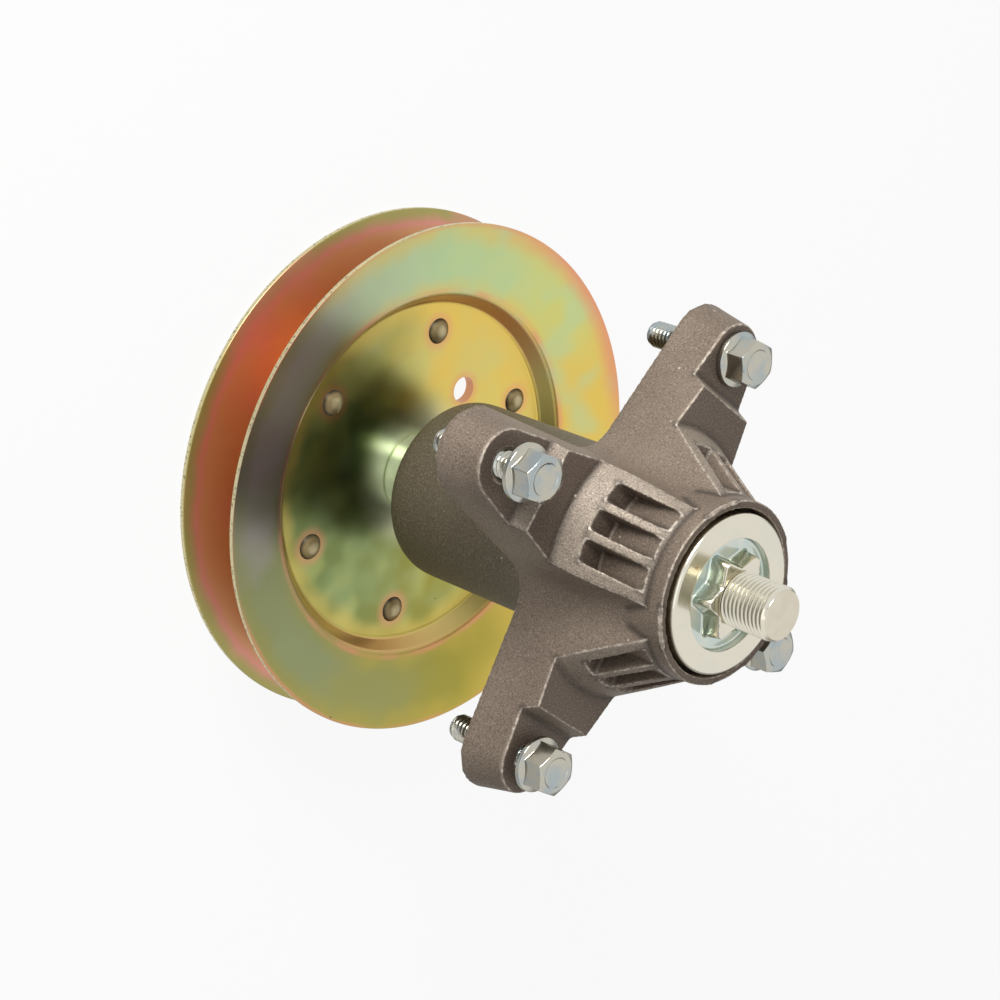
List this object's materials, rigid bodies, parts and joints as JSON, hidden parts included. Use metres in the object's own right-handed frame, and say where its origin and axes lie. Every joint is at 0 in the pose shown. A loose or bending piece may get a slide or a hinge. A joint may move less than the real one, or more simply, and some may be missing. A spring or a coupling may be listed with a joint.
{
  "type": "mower deck spindle",
  "caption": "Cast spindle housing with bolt arms, a flanged and threaded shaft on ball bearings, and a V-belt pulley riveted from pressed sheets.",
  "frame": {"origin": "on the spindle axis, in the deck plane that the rear faces of the arms meet", "axes": "+Z along the spindle axis towards the blade end; the deck bolts stand on the corners of a square whose sides run along X and Y"},
  "size_m": [0.1588, 0.1588, 0.161],
  "materials": {
    "cast": "rough",
    "zinc": "bright",
    "bolt": "bright",
    "spacer": "satin",
    "pulley": "satin",
    "rivet": "satin",
    "race": "polished",
    "ball": "polished",
    "cage": "satin",
    "seal": "matte"
  },
  "bodies": {
    "housing": {"housing": "cast", "deck_bolt_1": "bolt", "deck_bolt_2": "bolt", "deck_bolt_3": "bolt", "deck_bolt_4": "bolt", "blade_bearing_outer_race": "race", "blade_bearing_seal_lower": "seal", "blade_bearing_seal_upper": "seal", "pulley_bearing_outer_race": "race", "pulley_bearing_seal_lower": "seal", "pulley_bearing_seal_upper": "seal"},
    "spindle": {"spindle_shaft": "zinc", "pulley_front_sheet": "pulley", "pulley_rear_sheet": "pulley", "hub_spacer": "spacer", "bearing_spacer": "spacer", "pulley_nut": "zinc", "pulley_rivet_1": "rivet", "pulley_rivet_2": "rivet", "pulley_rivet_3": "rivet", "pulley_rivet_4": "rivet", "pulley_rivet_5": "rivet", "pulley_rivet_6": "rivet", "blade_bearing_inner_race": "race", "pulley_bearing_inner_race": "race"},
    "blade_bearing_cage": {"blade_bearing_cage": "cage", "blade_bearing_ball_1": "ball", "blade_bearing_ball_2": "ball", "blade_bearing_ball_3": "ball", "blade_bearing_ball_4": "ball", "blade_bearing_ball_5": "ball", "blade_bearing_ball_6": "ball", "blade_bearing_ball_7": "ball", "blade_bearing_ball_8": "ball"},
    "pulley_bearing_cage": {"pulley_bearing_cage": "cage", "pulley_bearing_ball_1": "ball", "pulley_bearing_ball_2": "ball", "pulley_bearing_ball_3": "ball", "pulley_bearing_ball_4": "ball", "pulley_bearing_ball_5": "ball", "pulley_bearing_ball_6": "ball", "pulley_bearing_ball_7": "ball", "pulley_bearing_ball_8": "ball"}
  },
  "joints": [
    {"name": "spindle_spin", "type": "hinge", "parent": "housing", "child": "spindle", "pos_m": [0, 0, 0], "axis": [0, 0, 1], "continuous": true},
    {"name": "blade_cage_spin", "type": "hinge", "parent": "housing", "child": "blade_bearing_cage", "pos_m": [0, 0, 0.0375], "axis": [0, 0, 1], "continuous": true},
    {"name": "pulley_cage_spin", "type": "hinge", "parent": "housing", "child": "pulley_bearing_cage", "pos_m": [0, 0, -0.054], "axis": [0, 0, 1], "continuous": true}
  ],
  "couplings": [
    {"joint": "blade_cage_spin", "follows": "spindle_spin", "ratio": 0.3818},
    {"joint": "pulley_cage_spin", "follows": "spindle_spin", "ratio": 0.3818}
  ]
}
